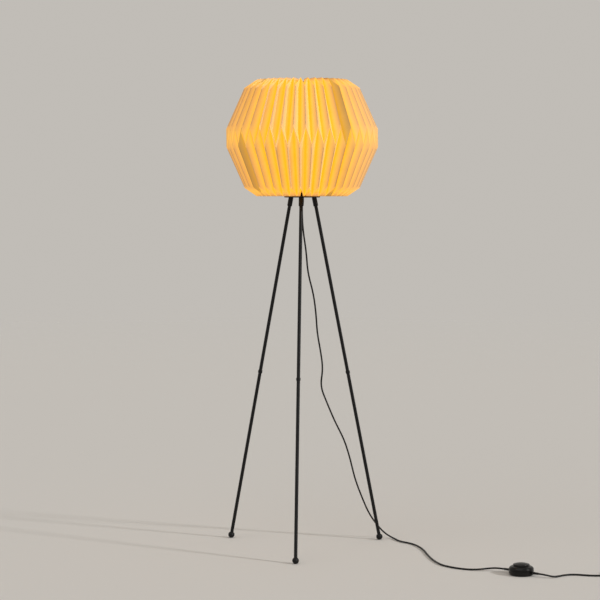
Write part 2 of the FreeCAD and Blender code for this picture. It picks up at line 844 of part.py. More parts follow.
def coil_path():
    """Turns that spiral in, climb in the innermost half turn and spiral out on top."""
    forth = Vector(0, 1, 0)
    places = []
    for step in range(COIL_IN + 1):
        radius = COIL_RADIUS - step * COIL_PITCH / 2
        places.append((radius, COIL_HEIGHT))
    inmost = places[-1][0]
    for step in range(COIL_OUT + 1):
        places.append((inmost + step * COIL_PITCH / 2, COIL_HEIGHT + COIL_LAYER))
    points = [Vector((-1) ** i * r, 0, z) for i, (r, z) in enumerate(places)]
    lead_in = Part.LineSegment(points[0] - forth * LEAD_DIAMETER, points[0]).toShape()
    edges = [lead_in]
    for i, (start, end) in enumerate(zip(points, points[1:])):
        edges += half_turn(start, forth * (-1) ** i, end)
    edges.append(Part.LineSegment(points[-1], points[-1] + forth * COIL_TAIL).toShape())
    return Part.Wire(edges)


def at_coil(shape):
    return placed(shape, COIL_X, COIL_Y, COIL_TURN)


def coil_entry():
    angle = math.radians(COIL_TURN)
    across = Vector(math.cos(angle), math.sin(angle), 0)
    along = Vector(-across.y, across.x, 0)
    point = Vector(COIL_X, COIL_Y, COIL_HEIGHT) + across * COIL_RADIUS - along * LEAD_DIAMETER
    return tuple(point)


def rounded_frame(left, right, low, high, corner):
    """Upright rectangle with round corners in the XZ plane."""
    box = Part.makeBox(right - left, TIE_WIDTH, high - low, Vector(left, -TIE_WIDTH / 2, low))
    along_y = [e for e in box.Edges if abs(e.tangentAt(e.FirstParameter).y) > 0.9]
    return box.makeFillet(corner, along_y)


def coil_tie():
    """Strap round the bundle, across the turns opposite to where the lead comes in."""
    inmost = COIL_RADIUS - COIL_IN * COIL_PITCH / 2
    play = LEAD_RADIUS + 0.3
    left = -COIL_RADIUS + COIL_PITCH / 2 - play
    right = -inmost + play
    low = TIE_THICKNESS
    high = COIL_HEIGHT + COIL_LAYER + play
    band = TIE_THICKNESS
    outer = rounded_frame(left - band, right + band, low - band, high + band, 3 + band)
    return outer.cut(rounded_frame(left, right, low, high, 3))


def plug_height():
    return COIL_HEIGHT + COIL_LAYER


def at_plug(shape):
    """Stand a shape, built upwards from the lead's end, on the coil's outgoing end."""
    copy = shape.copy()
    copy.rotate(Vector(), Vector(1, 0, 0), -90)
    radius = COIL_RADIUS - (COIL_IN - COIL_OUT) * COIL_PITCH / 2
    copy.translate(Vector(radius, COIL_TAIL, plug_height()))
    return at_coil(copy)


def plug_body():
    """Flat plug: oval block whose back narrows to the sleeve round the lead."""
    thickness = 2 * plug_height()
    side = (PLUG_WIDTH - thickness) / 2
    back = PLUG_RELIEF
    front = back + PLUG_LENGTH
    half = thickness / 2
    left = Vector(-side, 0, 0)
    right = Vector(side, 0, 0)
    down = Vector(0, -half, 0)
    outline = Part.Wire([
        Part.LineSegment(left + down, right + down).toShape(),
        Part.Arc(right + down, right + Vector(half, 0, 0), right - down).toShape(),
        Part.LineSegment(right - down, left - down).toShape(),
        Part.Arc(left - down, left - Vector(half, 0, 0), left + down).toShape(),
    ])
    block = Part.Face(outline).extrude(Vector(0, 0, PLUG_LENGTH))
    rims = [e for e in block.Edges if abs(e.BoundBox.ZLength) < 1e-6]
    block = block.makeFillet(2.0, rims)
    block.translate(Vector(0, 0, back))
    tip = LEAD_RADIUS + 0.6
    sleeve = [
        (0, 0), (tip - 0.5, 0), (tip, 0.5), (tip + 1.2, back * 0.75), (tip + 3.5, back),
        (tip + 3.5, front - 5), (0, front - 5),
    ]
    return block.fuse(revolved(sleeve))


def plug_pins():
    base = PLUG_RELIEF + PLUG_LENGTH
    round_end = 0.9
    high = base + PIN_LENGTH
    outline = [
        (0, base), (PIN_RADIUS, base), (PIN_RADIUS, high - round_end),
        (PIN_RADIUS - 0.25, high - 0.25, PIN_RADIUS - round_end, high), (0, high),
    ]
    pins = []
    for side in (-1, 1):
        pin = revolved(outline)
        pin.translate(Vector(side * PIN_SPACING / 2, 0, 0))
        pins.append(pin)
    return Part.makeCompound(pins)


def make_lead():
    route = LAMP_TO_SWITCH + [relief_end(-1)]
    save("lead_lamp_to_switch", tube(soft_path(route, "lamp to switch"), LEAD_RADIUS))
    route = [relief_end(1)] + SWITCH_TO_COIL + [coil_entry()]
    save("lead_switch_to_coil", tube(soft_path(route, "switch to coil"), LEAD_RADIUS))
    turns = coil_path()
    gap = least_self_gap(turns, LEAD_DIAMETER, 40)
    print("coil turns", (COIL_IN + COIL_OUT + 1) / 2, "least gap", round(gap, 2))
    save("lead_coil", at_coil(tube(turns, LEAD_RADIUS)))
    save("coil_tie", at_coil(coil_tie()))
    save("plug_body", at_plug(plug_body()))
    save("plug_pins", at_plug(plug_pins()))


os.makedirs("parts", exist_ok=True)
make_stand()
make_holder()
make_bulb()
make_shade()
make_switch()
make_lead()
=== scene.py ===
"""Looks of a pleated paper floor lamp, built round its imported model."""

import json
import math

import bmesh
import bpy
from mathutils import Matrix, Vector


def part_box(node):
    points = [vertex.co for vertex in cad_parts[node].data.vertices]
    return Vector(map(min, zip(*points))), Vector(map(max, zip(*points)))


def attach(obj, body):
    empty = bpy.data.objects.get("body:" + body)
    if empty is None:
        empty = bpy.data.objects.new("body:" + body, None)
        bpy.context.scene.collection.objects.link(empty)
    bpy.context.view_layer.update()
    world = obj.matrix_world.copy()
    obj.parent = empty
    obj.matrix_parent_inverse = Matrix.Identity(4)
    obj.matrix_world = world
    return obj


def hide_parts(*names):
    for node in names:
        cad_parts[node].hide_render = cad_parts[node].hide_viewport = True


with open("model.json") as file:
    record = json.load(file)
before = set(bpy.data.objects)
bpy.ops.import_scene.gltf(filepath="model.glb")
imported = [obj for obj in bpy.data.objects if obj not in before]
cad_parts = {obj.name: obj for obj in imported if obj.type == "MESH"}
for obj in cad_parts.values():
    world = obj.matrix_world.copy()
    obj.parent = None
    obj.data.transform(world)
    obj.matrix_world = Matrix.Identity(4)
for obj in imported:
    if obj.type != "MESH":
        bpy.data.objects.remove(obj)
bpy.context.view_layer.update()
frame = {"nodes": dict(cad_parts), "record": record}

bl_info = {
    "name": "Pleated paper floor lamp",
    "version": (1, 0, 0),
    "blender": (4, 5, 0),
    "location": "3D View > Sidebar > Floor lamp",
    "description": "Paper shade, lead, finishes and studio of a floor lamp",
    "category": "Object",
}

# Pleated shade: fold lines run from the top hole to the bottom one
PLEATS = 40
SHEETS = 4
FIRST_LINE = -87.75     # direction of fold line 0, in degrees
FIRST_SEAM_LINE = 8     # fold line where sheet 1 starts
LINE_PITCH = 180 / PLEATS
PANELS_PER_SHEET = 2 * PLEATS // SHEETS
LEVELS = 5              # corners of a fold line, with its two ends
PANEL_CUTS = 5          # cuts that keep the twisted panels smooth
PAPER_SMOOTHING = math.radians(12)
THREAD_TWISTS = 60
SHADE_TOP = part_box("shade_sheet_1")[1].z
SHADE_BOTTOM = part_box("shade_sheet_1")[0].z
SHADE_MIDDLE = (SHADE_TOP + SHADE_BOTTOM) / 2
SHADE_HALF = (SHADE_TOP - SHADE_BOTTOM) / 2

# Route of the lead, in metres
LEAD_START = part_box("lead_gland")[0].z
LAMP_TO_SWITCH = [
    (0, 0, LEAD_START),
    (0, 0, 1.062),
    (0.004, 0.001, 1.012),
    (0.013, 0.007, 0.95),
    (0.017, 0.014, 0.885),
    (0.035, 0.022, 0.817),
    (0.043, 0.027, 0.752),
    (0.046, 0.036, 0.69),
    (0.057, 0.045, 0.628),
    (0.064, 0.052, 0.572),
    (0.055, 0.056, 0.515),
    (0.076, 0.064, 0.461),
    (0.101, 0.079, 0.398),
    (0.131, 0.099, 0.336),
    (0.15, 0.114, 0.27),
    (0.164, 0.127, 0.205),
    (0.187, 0.143, 0.14),
    (0.209, 0.156, 0.086),
    (0.235, 0.166, 0.046),
    (0.26, 0.171, 0.018),
    (0.284, 0.163, 0.0045),
    (0.298, 0.139, 0.003),
    (0.307, 0.112, 0.003),
    (0.325, 0.088, 0.003),
    (0.353, 0.063, 0.003),
    (0.376, 0.016, 0.003),
    (0.393, -0.047, 0.003),
    (0.403, -0.112, 0.003),
    (0.415, -0.177, 0.003),
    (0.431, -0.237, 0.003),
    (0.45, -0.285, 0.003),
    (0.481, -0.319, 0.003),
    (0.524, -0.346, 0.003),
    (0.562, -0.351, 0.0045),
    (0.594, -0.346, 0.008),
    (0.6184, -0.3524, 0.01),
]
SWITCH_TO_COIL = [
    (0.754, -0.4439, 0.01),
    (0.777, -0.442, 0.004),
    (0.796, -0.427, 0.003),
    (0.813, -0.409, 0.003),
    (0.837, -0.398, 0.003),
    (0.865, -0.403, 0.003),
    (0.897, -0.412, 0.003),
    (0.929, -0.408, 0.0032),
    (0.957, -0.41, 0.0034),
]
SWITCH_PLACE = Vector((0.686, -0.398, 0.010))   # middle of the switch, at the lead's height
SWITCH_TURN = math.radians(-34)
SWITCH_REACH = 0.0595   # from the middle to the end of either sleeve

# Put-away coil
COIL_PLACE = Vector((0.979, -0.371, 0))
COIL_TURN = math.radians(-86)
COIL_RADIUS = 0.039
COIL_PITCH = 0.0069
COIL_LAYER = 0.0068
COIL_HEIGHT = 0.0034
COIL_IN = 5             # half turns of the lower layer
COIL_OUT = 4            # half turns of the upper layer, after one that climbs
COIL_POINTS = 8         # points in each half turn
COIL_TAIL = 0.028
STRAP_PLAY = 0.0003     # between the lead and its strap
STRAP_CORNER = 0.0034   # rounding of the strap's corners
STRAP_EDGE = 0.00012    # rounding of its edges

# Camera, as the photograph was taken
CAMERA_LENS = 112.8     # on a sensor 36 mm wide
CAMERA_DISTANCE = 6.017
CAMERA_HEIGHT = 1.143
CAMERA_AZIMUTH = math.radians(4.08)
CAMERA_TURN = math.radians(0.065)
CAMERA_PITCH = math.radians(3.283)

# Studio; azimuth 0 is the camera's side and 90 the right, in degrees
KEY = {"azimuth": 68, "elevation": 25, "angle": 4, "strength": 1.5}
FILL = {"azimuth": -30, "elevation": 50, "angle": 60, "strength": 0.45}
AMBIENT = 0.68          # share of the background's light that reaches the lamp
FLOOR_RADIUS = 16
FLOOR_CORE = 4          # radius of the floor's inner face
FLOOR_GAP = 0.0003      # how far it is below the pieces that stand on it
FADE_FROM = 5.0         # the floor fades into the background between these radii
FADE_TO = 14.0


# ---------------------------------------------------------------- sizes and colours
def length(name, description, default):
    """A size that the panel shows, in metres."""
    return bpy.props.FloatProperty(
        name=name, description=description, default=default, min=0, subtype="DISTANCE", unit="LENGTH"
    )


def colour(name, description, default):
    """A colour that the panel shows."""
    return bpy.props.FloatVectorProperty(
        name=name, description=description, default=default, min=0, max=1, size=3, subtype="COLOR"
    )


class LampSizes(bpy.types.PropertyGroup):
    """Sizes of the pieces that are modelled here."""

    shade_radius: length("Shade radius", "Widest reach of the pleats, at the belt", 0.242)
    belt_half: length("Belt half height", "Reach of the belt's zigzag from the middle", 0.0286)
    tip_radius: length("Tip radius", "Where the highest folds turn down", 0.145)
    corner_radius: length("Corner radius", "Where the folds between them turn down", 0.184)
    corner_drop: length("Corner drop", "How much lower those turn", 0.0264)
    hole_radius: length("Hole radius", "Hole at the top and bottom of the shade", 0.050)
    paper: length("Paper thickness", "Thickness of one layer of paper", 0.0004)
    glue_gap: length("Glue gap", "Room between the two layers of a lap", 0.0004)
    thread_circle: length("Thread circle", "Circle on which the thread gathers the pleats", 0.054)
    thread_strand: length("Strand radius", "Radius of one of the thread's two strands", 0.00036)
    strap_width: length("Strap width", "Width of the strap round the coil", 0.008)
    strap_thickness: length("Strap thickness", "Thickness of that strap", 0.0006)
    lead: length("Lead diameter", "Diameter of the lead's sheath", 0.0054)


class LampColours(bpy.types.PropertyGroup):
    """Colours of the finishes."""

    # The paper's base colour is painted lit on the ridges and painted shaded, darker and yellower, in the
    # valleys
    paper_lit_ridges: colour("Paper", "Paper in outside light, on the ridges", (0.53, 0.415, 0.285))
    paper_shaded_valleys: colour("Paper in the folds", "Paper in outside light, in the valleys", (0.40, 0.28, 0.04))
    glow_deep: colour("Glow in the folds", "Light through the paper near the valleys", (0.79, 0.375, 0.003))
    glow_rim: colour("Glow at the ridges", "Light through the paper near the ridges", (0.52, 0.205, 0.012))
    thread: colour("Thread", "Gathering thread", (0.75, 0.66, 0.48))
    coat: colour("Black coat", "Powder coat of the metal", (0.004, 0.004, 0.0045))
    gloss: colour("Black plastic", "Plastic of switch, plug and gland", (0.0035, 0.0032, 0.0032))
    sheath: colour("Lead", "Sheath of the lead", (0.005, 0.0045, 0.0045))
    ivory: colour("Ivory plastic", "Sleeve of the lamp holder", (0.80, 0.74, 0.60))
    ceramic: colour("Ceramic", "Insert of the lamp holder", (0.84, 0.82, 0.77))
    brass: colour("Brass", "Contacts", (0.72, 0.50, 0.22))
    plate: colour("Nickel", "Screw cap, nipple, screws and pins", (0.62, 0.60, 0.57))
    bulb: colour("Bulb", "Light of the bulb", (1.0, 0.74, 0.36))
    floor: colour("Floor", "Plain floor", (0.80, 0.775, 0.74))
    backdrop: colour("Background", "Background that the floor fades into", (0.532, 0.507, 0.472))


def sizes():
    return bpy.context.scene.lamp_sizes


def colours():
    return bpy.context.scene.lamp_colours


# ---------------------------------------------------------------- shader sums
class Value:
    """A shader socket that can be used in sums, each of which adds its Math node."""

    def __init__(self, finish, socket):
        self.finish = finish
        self.socket = socket

    def sum(self, operation, other=0.0, turned=False):
        first, second = (other, self) if turned else (self, other)
        return self.finish.value("ShaderNodeMath", {"operation": operation}, {0: first, 1: second})

    def __add__(self, other):
        return self.sum("ADD", other)

    def __sub__(self, other):
        return self.sum("SUBTRACT", other)

    def __rsub__(self, other):
        return self.sum("SUBTRACT", other, True)

    def __mul__(self, other):
        return self.sum("MULTIPLY", other)

    __radd__ = __add__
    __rmul__ = __mul__


class Finish:
    """One procedural material, and the few ways in which its nodes are added."""

    def __init__(self, name, tree=None):
        if tree is None:
            self.material = bpy.data.materials.new(name)
            self.material.use_nodes = True
            tree = self.material.node_tree
        self.tree = tree
        self.shader = tree.nodes.get("Principled BSDF")

    def node(self, kind, settings=None, inputs=None):
        made = self.tree.nodes.new(kind)
        for key, setting in (settings or {}).items():
            setattr(made, key, setting)
        for key, given in (inputs or {}).items():
            self.feed(made.inputs[key], given)
        return made

    def feed(self, socket, given):
        if isinstance(given, Value):
            self.tree.links.new(given.socket, socket)
        elif socket.type == "RGBA":
            socket.default_value = (*given, 1)
        else:
            socket.default_value = given

    def value(self, kind, settings=None, inputs=None, output=0):
        return Value(self, self.node(kind, settings, inputs).outputs[output])

    def set(self, **inputs):
        """Fill the shader's sockets; an underscore stands for a space."""
        for key, given in inputs.items():
            self.feed(self.shader.inputs[key.replace("_", " ")], given)

    def place(self):
        """The piece's own coordinates, in metres."""
        return self.value("ShaderNodeTexCoord", output="Object")

    def noise(self, size, detail=2.0, stretch=None):
        """Noise from 0 to 1 whose features are about size metres across."""
        vector = self.place()
        if stretch:
            vector = self.value("ShaderNodeMapping", inputs={"Vector": vector, "Scale": stretch})
        given = {"Vector": vector, "Scale": 1 / size, "Detail": detail, "Roughness": 0.55}
        return self.value("ShaderNodeTexNoise", inputs=given, output="Fac")

    def blend(self, factor, first, second, way="MIX"):
        """A colour made of two others; a Mix node's colours are its inputs 6 and 7."""
        settings = {"data_type": "RGBA", "blend_type": way}
        return self.value("ShaderNodeMix", settings, {0: factor, 6: first, 7: second}, 2)

    def ease(self, value, low, high):
        """0 below low, 1 above high and a soft step between them."""
        given = {"Value": value, "From Min": low, "From Max": high}
        return self.value("ShaderNodeMapRange", {"interpolation_type": "SMOOTHSTEP"}, given)

    def bump(self, height, depth, strength=1.0):
        """Relief: height from 0 to 1 stands for depth metres."""
        given = {"Height": height, "Distance": depth, "Strength": strength}
        self.feed(self.shader.inputs["Normal"], self.value("ShaderNodeBump", inputs=given))


# ---------------------------------------------------------------- finishes
BLACK = (0, 0, 0)
WHITE = (1, 1, 1)


def shades_of(rgb, factor):
    """A colour made darker or lighter."""
    return tuple(min(1.0, c * factor) for c in rgb)


def paper_finish():
    """Paper with a painted glow from the bulb and painted light and shade on its folds. Its UV map counts
    fold lines across and corners of the fold down.
    """
    finish = Finish("lit_paper")
    tints = colours()
    folds = finish.value("ShaderNodeUVMap", {"uv_map": "Folds"})
    split = finish.node("ShaderNodeSeparateXYZ", inputs={0: folds})
    across = Value(finish, split.outputs[0])
    down = Value(finish, split.outputs[1])
    fibres = finish.noise(0.0011, 3.0, stretch=(1, 1, 0.35))
    clouds = finish.noise(0.035, 2.0)

    # 1 on the ridges and 0 in the valleys, which change places at corners 1, 2 and 3 of a fold
    to_odd = across.sum("PINGPONG", 1.0)
    lower = finish.ease(down, 1.9, 2.1)
    ends = 1 - finish.ease(down, 0.95, 1.05) * (1 - finish.ease(down, 2.95, 3.05))
    swapped = (lower - ends).sum("ABSOLUTE")
    ridge = to_odd * (1 - swapped) + (1 - to_odd) * swapped

    # 0 where the glow is dimmed: painted shade along the ridges and the belt's fold, and where two layers
    #                             lie on each other
    along = 1 - finish.ease(ridge, 0.82, 1.0)
    round_belt = finish.ease((down - 2).sum("ABSOLUTE"), 0.0, 0.022)
    crease_shade = along.sum("MINIMUM", round_belt)
    single = finish.ease(across, 0.985, 1.015)

    # Painted light: the glow is brighter in the valleys at the top and bottom ends
    end_valley_glow = ends * (1 - finish.ease(ridge, 0.0, 0.7))
    uneven = 0.90 + clouds * 0.14 + fibres * 0.04
    # Brightness of the painted glow: uneven at random, dimmed on two layers and in the painted shade at
    # ridges and belt, brightened at the ends; its colour darkens towards the ridges, which is painted shade
    # too
    level = uneven * (0.52 + single * 0.48) * (0.5 + crease_shade * 0.5) * (1 + end_valley_glow * 0.5)
    glow = finish.blend(finish.ease(ridge, 0.2, 1.0), tuple(tints.glow_deep), tuple(tints.glow_rim))
    grey = finish.blend(level, BLACK, WHITE)
    # Base colour: painted light on the ridges and painted shade in the valleys and on the two-layer laps,
    # with random mottling
    lit_share_and_mottle = finish.ease(ridge, 0.0, 0.5) * (0.35 + single * 0.45) + (fibres + clouds) * 0.1
    finish.set(
        Base_Color=finish.blend(lit_share_and_mottle, tuple(tints.paper_shaded_valleys), tuple(tints.paper_lit_ridges)),
        Roughness=0.62 + fibres * 0.2,
        Emission_Color=finish.blend(1.0, glow, grey, "MULTIPLY"),
        Emission_Strength=1.0,
        Specular_IOR_Level=0.3,
    )
    finish.bump(fibres * 0.6 + clouds * 0.4, 0.00035, 0.5)
    return finish.material


def thread_finish():
    """Pale thread with a little fluff."""
    finish = Finish("gathering_thread")
    tone = tuple(colours().thread)
    fluff = finish.noise(0.0006, 3.0)
    finish.set(
        Base_Color=finish.blend(fluff, shades_of(tone, 0.75), shades_of(tone, 1.15)),
        Roughness=0.75 + fluff * 0.2,
    )
    finish.bump(fluff, 0.0002, 0.6)
    return finish.material


def coat_finish():
    """Satin powder coat: a fine orange peel, and gloss that differs in patches."""
    finish = Finish("black_powder_coat")
    tone = tuple(colours().coat)
    peel = finish.noise(0.0009, 2.0)
    patches = finish.noise(0.02, 3.0)
    worn = finish.ease(patches, 0.35, 0.8)
    finish.set(
        Base_Color=finish.blend(worn, shades_of(tone, 0.85), shades_of(tone, 1.5)),
        Roughness=0.34 + patches * 0.12 + peel * 0.06,
        Specular_IOR_Level=0.25,
    )
    finish.bump(peel, 0.00006, 0.35)
    return finish.material


def gloss_finish(name, grain, base_roughness):
    """Moulded black plastic, glossy or lightly grained."""
    finish = Finish(name)
    tone = tuple(colours().gloss)
    skin = finish.noise(grain, 2.0)
    rubbed = finish.noise(0.012, 4.0)
    finish.set(
        Base_Color=finish.blend(rubbed, shades_of(tone, 0.8), shades_of(tone, 1.6)),
        Roughness=base_roughness + finish.ease(rubbed, 0.4, 0.75) * 0.10,
        Specular_IOR_Level=0.26,
    )
    finish.bump(skin, 0.00004, 0.25)
    return finish.material


def sheath_finish():
    """Smooth soft plastic round the lead, slightly dull where it was handled."""
    finish = Finish("black_lead_sheath")
    tone = tuple(colours().sheath)
    worn = finish.noise(0.009, 3.0)
    finish.set(
        Base_Color=finish.blend(worn, shades_of(tone, 0.8), shades_of(tone, 1.7)),
        Roughness=0.38 + worn * 0.16,
        Specular_IOR_Level=0.25,
    )
    finish.bump(finish.noise(0.0012, 2.0), 0.00005, 0.4)
    return finish.material


def pale_finish(name, tone, roughness, grain):
    """Pale moulded plastic or ceramic, warmed by small stains."""
    finish = Finish(name)
    stains = finish.noise(0.008, 4.0)
    finish.set(
        Base_Color=finish.blend(stains, shades_of(tone, 1.04), shades_of(tone, 0.86)),
        Roughness=roughness + stains * 0.12,
    )
    finish.bump(finish.noise(grain, 2.0), 0.00005, 0.4)
    return finish.material


def metal_finish(name, tone, roughness):
    """Bare or plated metal with fine turned lines."""
    finish = Finish(name)
    lines = finish.noise(0.0008, 2.0, stretch=(0.15, 0.15, 3.0))
    tarnish = finish.noise(0.006, 3.0)
    finish.set(
        Base_Color=finish.blend(tarnish, shades_of(tone, 1.05), shades_of(tone, 0.7)),
        Metallic=1.0,
        Roughness=roughness + lines * 0.12 + tarnish * 0.1,
    )
    finish.bump(lines, 0.00003, 0.4)
    return finish.material


def bulb_finish():
    """Opal glass with the lamp on."""
    finish = Finish("lit_opal_glass")
    tone = tuple(colours().bulb)
    haze = finish.noise(0.02, 2.0)
    finish.set(
        Base_Color=(0.9, 0.86, 0.78),
        Roughness=0.3 + haze * 0.1,
        Emission_Color=finish.blend(haze, tone, shades_of(tone, 0.85)),
        Emission_Strength=1.2,
    )
    return finish.material


def strap_finish():
    """Woven hook-and-loop strap."""
    finish = Finish("black_strap")
    tone = tuple(colours().sheath)
    given = {"Vector": finish.place(), "Scale": 260.0, "Distortion": 2.0}
    weave = finish.value("ShaderNodeTexWave", {"bands_direction": "DIAGONAL"}, given, "Fac")
    finish.set(
        Base_Color=finish.blend(weave, shades_of(tone, 0.8), shades_of(tone, 2.2)),
        Roughness=0.8 + weave * 0.15,
    )
    finish.bump(weave, 0.0002, 0.6)
    return finish.material


def floor_finish():
    """Plain pale floor that fades into the background far away."""
    finish = Finish("pale_floor")
    tone = tuple(colours().floor)
    grain = finish.noise(0.004, 3.0)
    finish.set(
        Base_Color=finish.blend(grain, shades_of(tone, 0.99), shades_of(tone, 1.01)),
        Roughness=0.85,
        Specular_IOR_Level=0.1,
    )
    far = finish.value("ShaderNodeVectorMath", {"operation": "LENGTH"}, {0: finish.place()}, "Value")
    clear = finish.value("ShaderNodeBsdfTransparent")
    solid = Value(finish, finish.shader.outputs[0])
    given = {0: finish.ease(far, FADE_FROM, FADE_TO), 1: solid, 2: clear}
    faded = finish.value("ShaderNodeMixShader", inputs=given)
    finish.feed(finish.tree.nodes["Material Output"].inputs["Surface"], faded)
    return finish.material


# ---------------------------------------------------------------- modelling helpers
def start_piece(name, primitive, **given):
    """Add a primitive as a new piece, alone in the selection."""
    bpy.ops.object.select_all(action="DESELECT")
    primitive(**given)
    piece = bpy.context.object
    piece.name = name
    piece.data.name = name
    bpy.ops.object.transform_apply(location=True, rotation=True, scale=True)
    return piece


def only(piece):
    """Select one piece alone and make it the active one."""
    bpy.ops.object.select_all(action="DESELECT")
    piece.select_set(True)
    bpy.context.view_layer.objects.active = piece


def edit(piece):
    """Enter edit mode with one piece, selecting by corners."""
    only(piece)
    bpy.ops.object.mode_set(mode="EDIT")
    bpy.ops.mesh.select_mode(type="VERT")


def leave_edit():
    bpy.ops.object.mode_set(mode="OBJECT")


def pick(kind, test):
    """In edit mode, select only the corners, edges or faces that pass a test."""
    bpy.ops.mesh.select_mode(type=kind)
    bpy.ops.mesh.select_all(action="DESELECT")
    mesh = bmesh.from_edit_mesh(bpy.context.object.data)
    items = {"VERT": mesh.verts, "EDGE": mesh.edges, "FACE": mesh.faces}[kind]
    for item in items:
        if test(item):
            item.select_set(True)
    mesh.select_flush_mode()
    bmesh.update_edit_mesh(bpy.context.object.data)


def apply_modifier(piece, kind, **settings):
    """Add a modifier with these settings and apply it."""
    only(piece)
    modifier = piece.modifiers.new(kind, kind)
    for key, setting in settings.items():
        setattr(modifier, key, setting)
    bpy.ops.object.modifier_apply(modifier=modifier.name)


def own_copy(piece, name, turn):
    """A copy with its own mesh, turned round the lamp's axis."""
    copy = piece.copy()
    copy.data = piece.data.copy()
    copy.data.transform(Matrix.Rotation(turn, 4, "Z"))
    copy.name = name
    copy.data.name = name
    bpy.context.scene.collection.objects.link(copy)
    return copy


def dress(piece, material, body, slot, *nodes):
    """Give a new piece its material and its body, and hide the nodes that it stands for; slot is not used.
    """
    piece.data.materials.clear()
    piece.data.materials.append(material)
    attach(piece, body)
    if nodes:
        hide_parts(*nodes)


def finish_nodes(material, names):
    """Put a material on CAD nodes that keep their shape."""
    for name in names:
        node = frame["nodes"][name]
        if not node.material_slots:
            node.data.materials.append(material)
        for slot in node.material_slots:
            slot.material = material


def nodes_in_slot(slot):
    """Names of the CAD nodes in one of the record's material slots."""
    return [row["node"] for row in frame["record"]["subparts"] if row["material_slot"] == slot]


# ---------------------------------------------------------------- pleated shade
def fold_corners(line):
    """Radius and height of a fold line's five corners; even lines are odd ones upside down."""
    given = sizes()
    corner = SHADE_HALF - given.corner_drop
    odd = [
        (given.hole_radius, corner),
        (given.corner_radius, corner),
        (given.shade_radius, given.belt_half),
        (given.tip_radius, -SHADE_HALF),
        (given.hole_radius, -SHADE_HALF),
    ]
    if line % 2:
        return odd
    return [(radius, -height) for radius, height in reversed(odd)]


def line_of(point):
    """Number of the fold line that a point lies on, or between two of them."""
    angle = math.degrees(math.atan2(point.y, point.x)) - FIRST_LINE
    return (angle / LINE_PITCH) % (2 * PLEATS)


def is_drafted(point, draft, odd):
    """Whether a point still has the draft's radius and height, on an odd or an even line."""
    near = 0.01
    place = (math.hypot(point.x, point.y), point.z)
    return math.dist(place, draft) < near and round(line_of(point)) % 2 == odd


def draw_lantern():
    """A ring of fold lines, drawn down level by level and then scaled to the folds."""
    radius = 1.0
    step = 0.1
    lantern = start_piece(
        "lantern", bpy.ops.mesh.primitive_circle_add, vertices=2 * PLEATS, radius=radius,
        fill_type="NOTHING", rotation=(0, 0, math.radians(LINE_PITCH / 2)),
    )
    edit(lantern)
    bpy.ops.mesh.select_all(action="SELECT")
    for _ in range(LEVELS - 1):
        bpy.ops.mesh.extrude_region_move(TRANSFORM_OT_translate={"value": (0, 0, -step)})
    for level in range(LEVELS):
        draft = (radius, -level * step)
        for odd in (0, 1):
            new_radius, height = fold_corners(odd)[level]
            pick("VERT", lambda vertex: is_drafted(vertex.co, draft, odd))
            factor = new_radius / radius
            bpy.ops.transform.resize(value=(factor, factor, 1), center_override=(0, 0, draft[1]))
            bpy.ops.transform.translate(value=(0, 0, SHADE_MIDDLE + height - draft[1]))
    bpy.ops.mesh.select_all(action="SELECT")
    bpy.ops.mesh.normals_make_consistent(inside=False)
    leave_edit()
    return lantern


def name_folds(sheet):
    """UV map that counts fold lines across the sheet and corners down it."""
    folds = sheet.data.uv_layers.new(name="Folds")
    for loop in sheet.data.loops:
        point = sheet.data.vertices[loop.vertex_index].co
        line = round(line_of(point) - FIRST_SEAM_LINE) % (2 * PLEATS)
        here = (math.hypot(point.x, point.y), point.z - SHADE_MIDDLE)
        corners = fold_corners(line)
        level = min(range(LEVELS), key=lambda i: math.dist(here, corners[i]))
        folds.data[loop.index].uv = (line, level)


def from_first_seam(point):
    """How many fold lines a point is past the start of sheet 1."""
    return (line_of(point) - FIRST_SEAM_LINE) % (2 * PLEATS)


def cut_first_sheet(lantern):
    """Sheet 1: a quarter of the lantern and one panel more, which lies under its neighbour."""
    sheet = own_copy(lantern, "paper_sheet_1", 0)
    edit(sheet)
    pick("FACE", lambda face: from_first_seam(face.calc_center_median()) > PANELS_PER_SHEET + 1)
    bpy.ops.mesh.delete(type="FACE")
    leave_edit()
    name_folds(sheet)
    edit(sheet)
    lap = sizes().paper + sizes().glue_gap
    pick("VERT", lambda vertex: from_first_seam(vertex.co) > PANELS_PER_SHEET - 0.5)
    bpy.ops.transform.shrink_fatten(value=-lap, use_even_offset=True)
    bpy.ops.mesh.select_all(action="SELECT")
    bpy.ops.mesh.subdivide(number_cuts=PANEL_CUTS, smoothness=0)
    leave_edit()
    return sheet


def make_shade():
    """Four sheets, the last three of them turned copies of the first."""
    lantern = draw_lantern()
    sheet = cut_first_sheet(lantern)
    bpy.data.objects.remove(lantern)
    if not sheet.data.polygons:
        raise RuntimeError("the sheet of paper has no panels")
    apply_modifier(sheet, "SOLIDIFY", thickness=sizes().paper, offset=-1, use_even_offset=True)
    only(sheet)
    bpy.ops.object.shade_smooth_by_angle(angle=PAPER_SMOOTHING)
    paper = paper_finish()
    for number in range(1, SHEETS + 1):
        piece = sheet
        if number > 1:
            turn = math.radians(360 / SHEETS * (number - 1))
            piece = own_copy(sheet, "paper_sheet_" + str(number), turn)
        dress(piece, paper, "shade", "paper", "shade_sheet_" + str(number))


